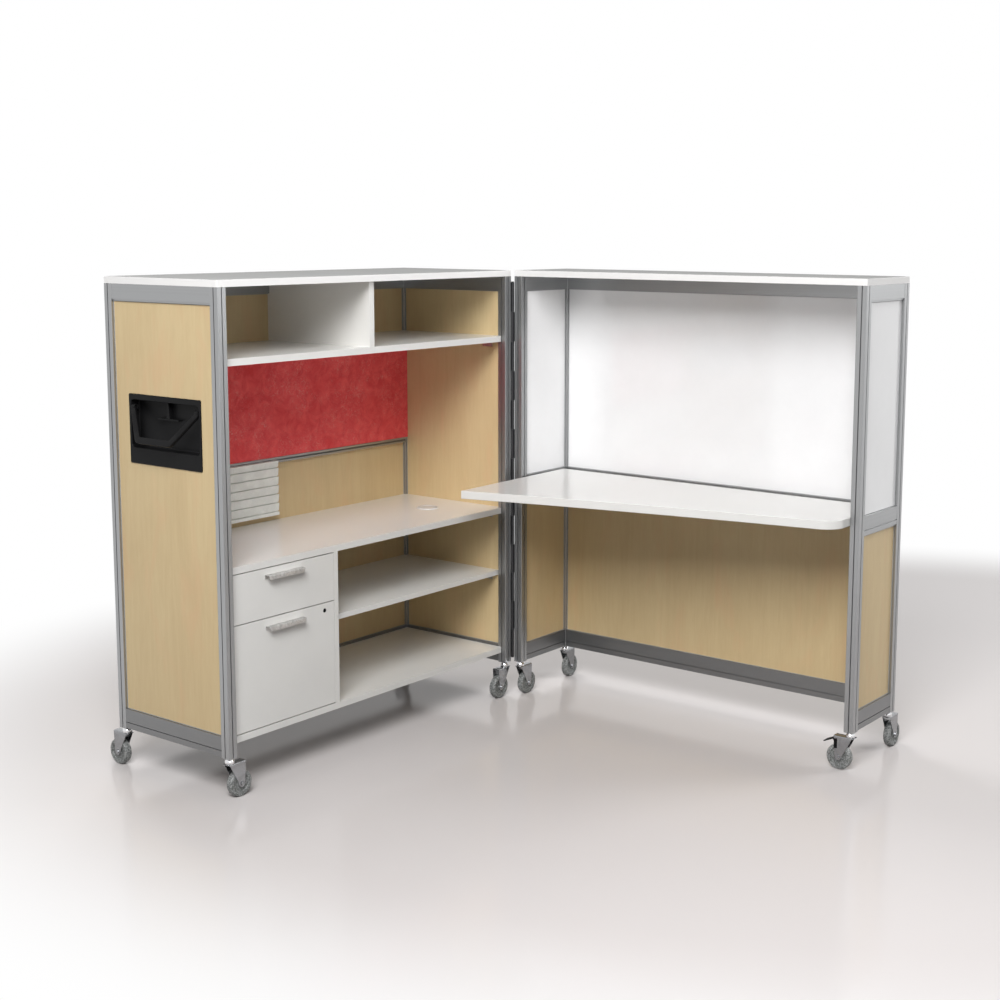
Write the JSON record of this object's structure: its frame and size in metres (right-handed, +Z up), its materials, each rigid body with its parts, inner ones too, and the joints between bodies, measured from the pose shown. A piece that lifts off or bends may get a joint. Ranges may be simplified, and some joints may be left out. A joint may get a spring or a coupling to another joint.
{
  "type": "folding mobile workstation",
  "caption": "Mobile workstation of two open-fronted cabinet halves on casters, hinged upright at one corner: storage with drawers on one side, worksurface and whiteboard on the other.",
  "frame": {"origin": "centre of the bounding box on the floor, in the rest pose with the two halves at a right angle", "axes": "+Z up; -Y is the direction the storage half's open front faces; the storage half runs along X at +Y, and the desk half runs along Y at +X and faces -X"},
  "size_m": [1.6025, 1.753, 1.403],
  "materials": {
    "maple": "satin clear-coated maple veneer",
    "white_laminate": "smooth white laminate",
    "white_board": "glossy white marker board",
    "anodised_aluminium": "satin anodised",
    "red_fabric": "flecked woven red",
    "pale_plastic": "smooth pale grey-beige",
    "black_plastic": "satin black moulding",
    "grey_plastic": "smooth light grey",
    "satin_pull": "satin",
    "zinc_steel": "zinc plated",
    "hinge_steel": "dark satin",
    "bright_chrome": "bright chrome plate",
    "grey_tyre": "speckled grey polyurethane"
  },
  "bodies": {
    "storage_half": {"storage_posts": "anodised_aluminium", "storage_rails": "anodised_aluminium", "storage_outer_panel": "maple", "storage_hinge_panel": "maple", "storage_back_panel": "maple", "storage_top": "white_laminate", "upper_shelf": "white_laminate", "shelf_divider": "white_laminate", "tackboard": "red_fabric", "accessory_rail": "anodised_aluminium", "slat_panel": "pale_plastic", "credenza_top": "white_laminate", "cable_grommet": "grey_plastic", "mid_shelf": "white_laminate", "bottom_shelf": "white_laminate", "pedestal_case": "white_laminate", "drawer_runners": "zinc_steel", "handle_tray": "black_plastic", "storage_caster_stems": "bright_chrome", "hinge_leaf_storage": "hinge_steel", "hinge_pin": "hinge_steel", "shelf_supports": "zinc_steel"},
    "box_drawer": {"box_drawer_front": "white_laminate", "box_drawer_tray": "white_laminate", "box_drawer_pull": "satin_pull", "box_drawer_slides": "zinc_steel"},
    "file_drawer": {"file_drawer_front": "white_laminate", "file_drawer_tray": "white_laminate", "file_drawer_pull": "satin_pull", "file_drawer_slides": "zinc_steel"},
    "lock": {"lock_cylinder": "zinc_steel"},
    "carrying_handle": {"handle_bail": "black_plastic"},
    "desk_half": {"desk_posts": "anodised_aluminium", "desk_rails": "anodised_aluminium", "desk_upper_end_panels": "white_board", "desk_lower_end_panels": "maple", "whiteboard": "white_board", "desk_back_panel": "maple", "desk_top": "white_laminate", "worksurface": "white_laminate", "worksurface_brackets": "zinc_steel", "desk_caster_stems": "bright_chrome", "hinge_leaf_desk": "hinge_steel"},
    "fork_storage_front_outer": {"fork_storage_front_outer": "bright_chrome"},
    "wheel_storage_front_outer": {"wheel_storage_front_outer": "grey_tyre"},
    "fork_storage_front_hinge": {"fork_storage_front_hinge": "bright_chrome"},
    "wheel_storage_front_hinge": {"wheel_storage_front_hinge": "grey_tyre"},
    "fork_storage_back_outer": {"fork_storage_back_outer": "bright_chrome"},
    "wheel_storage_back_outer": {"wheel_storage_back_outer": "grey_tyre"},
    "fork_storage_back_hinge": {"fork_storage_back_hinge": "bright_chrome"},
    "wheel_storage_back_hinge": {"wheel_storage_back_hinge": "grey_tyre"},
    "fork_desk_front_hinge": {"fork_desk_front_hinge": "bright_chrome"},
    "wheel_desk_front_hinge": {"wheel_desk_front_hinge": "grey_tyre"},
    "fork_desk_front_outer": {"fork_desk_front_outer": "bright_chrome"},
    "wheel_desk_front_outer": {"wheel_desk_front_outer": "grey_tyre"},
    "brake_pedal": {"brake_pedal": "black_plastic"},
    "fork_desk_back_outer": {"fork_desk_back_outer": "bright_chrome"},
    "wheel_desk_back_outer": {"wheel_desk_back_outer": "grey_tyre"},
    "fork_desk_back_hinge": {"fork_desk_back_hinge": "bright_chrome"},
    "wheel_desk_back_hinge": {"wheel_desk_back_hinge": "grey_tyre"}
  },
  "joints": [
    {"name": "unfold", "type": "hinge", "parent": "storage_half", "child": "desk_half", "pos_m": [0.46818, 0.3555, 0.7], "axis": [0, 0, 1], "range_deg": [-90, 90]},
    {"name": "box_drawer_slide", "type": "slide", "parent": "storage_half", "child": "box_drawer", "axis": [0, -1, 0], "range_m": [0, 0.36]},
    {"name": "file_drawer_slide", "type": "slide", "parent": "storage_half", "child": "file_drawer", "axis": [0, -1, 0], "range_m": [0, 0.4]},
    {"name": "lock_turn", "type": "hinge", "parent": "file_drawer", "child": "lock", "pos_m": [-0.37782, 0.375, 0.45098], "axis": [0, -1, 0], "range_deg": [0, 90]},
    {"name": "handle_swing", "type": "hinge", "parent": "storage_half", "child": "carrying_handle", "pos_m": [-0.75082, 0.5895, 1.047], "axis": [0, 1, 0], "range_deg": [-27, 63]},
    {"name": "swivel_storage_front_outer", "type": "hinge", "parent": "storage_half", "child": "fork_storage_front_outer", "pos_m": [-0.74782, 0.372, 0.098], "axis": [0, 0, 1], "range_deg": [-180, 180]},
    {"name": "roll_storage_front_outer", "type": "hinge", "parent": "fork_storage_front_outer", "child": "wheel_storage_front_outer", "pos_m": [-0.71582, 0.372, 0.0375], "axis": [0, 1, 0], "continuous": true},
    {"name": "swivel_storage_front_hinge", "type": "hinge", "parent": "storage_half", "child": "fork_storage_front_hinge", "pos_m": [0.44718, 0.372, 0.098], "axis": [0, 0, 1], "range_deg": [-175, 100]},
    {"name": "roll_storage_front_hinge", "type": "hinge", "parent": "fork_storage_front_hinge", "child": "wheel_storage_front_hinge", "pos_m": [0.41518, 0.372, 0.0375], "axis": [0, -1, 0], "continuous": true},
    {"name": "swivel_storage_back_outer", "type": "hinge", "parent": "storage_half", "child": "fork_storage_back_outer", "pos_m": [-0.74782, 0.807, 0.098], "axis": [0, 0, 1], "continuous": true},
    {"name": "roll_storage_back_outer", "type": "hinge", "parent": "fork_storage_back_outer", "child": "wheel_storage_back_outer", "pos_m": [-0.74782, 0.839, 0.0375], "axis": [-1, 0, 0], "continuous": true},
    {"name": "swivel_storage_back_hinge", "type": "hinge", "parent": "storage_half", "child": "fork_storage_back_hinge", "pos_m": [0.44718, 0.807, 0.098], "axis": [0, 0, 1], "continuous": true},
    {"name": "roll_storage_back_hinge", "type": "hinge", "parent": "fork_storage_back_hinge", "child": "wheel_storage_back_hinge", "pos_m": [0.44718, 0.839, 0.0375], "axis": [-1, 0, 0], "continuous": true},
    {"name": "swivel_desk_front_hinge", "type": "hinge", "parent": "desk_half", "child": "fork_desk_front_hinge", "pos_m": [0.48468, 0.3345, 0.098], "axis": [0, 0, -1], "range_deg": [-90, 180]},
    {"name": "roll_desk_front_hinge", "type": "hinge", "parent": "fork_desk_front_hinge", "child": "wheel_desk_front_hinge", "pos_m": [0.51668, 0.3345, 0.0375], "axis": [0, 1, 0], "continuous": true},
    {"name": "swivel_desk_front_outer", "type": "hinge", "parent": "desk_half", "child": "fork_desk_front_outer", "pos_m": [0.48468, -0.8605, 0.098], "axis": [0, 0, 1], "range_deg": [-180, 180]},
    {"name": "roll_desk_front_outer", "type": "hinge", "parent": "fork_desk_front_outer", "child": "wheel_desk_front_outer", "pos_m": [0.48468, -0.8285, 0.0375], "axis": [-1, 0, 0], "continuous": true},
    {"name": "brake_press", "type": "hinge", "parent": "fork_desk_front_outer", "child": "brake_pedal", "pos_m": [0.48468, -0.8205, 0.087], "axis": [-1, 0, 0], "range_deg": [0, 12]},
    {"name": "swivel_desk_back_outer", "type": "hinge", "parent": "desk_half", "child": "fork_desk_back_outer", "pos_m": [0.73168, -0.8605, 0.098], "axis": [0, 0, 1], "continuous": true},
    {"name": "roll_desk_back_outer", "type": "hinge", "parent": "fork_desk_back_outer", "child": "wheel_desk_back_outer", "pos_m": [0.76368, -0.8605, 0.0375], "axis": [0, 1, 0], "continuous": true},
    {"name": "swivel_desk_back_hinge", "type": "hinge", "parent": "desk_half", "child": "fork_desk_back_hinge", "pos_m": [0.73168, 0.3345, 0.098], "axis": [0, 0, 1], "continuous": true},
    {"name": "roll_desk_back_hinge", "type": "hinge", "parent": "fork_desk_back_hinge", "child": "wheel_desk_back_hinge", "pos_m": [0.76355, 0.33729, 0.0375], "axis": [-0.0872, 0.9962, 0], "continuous": true}
  ]
}
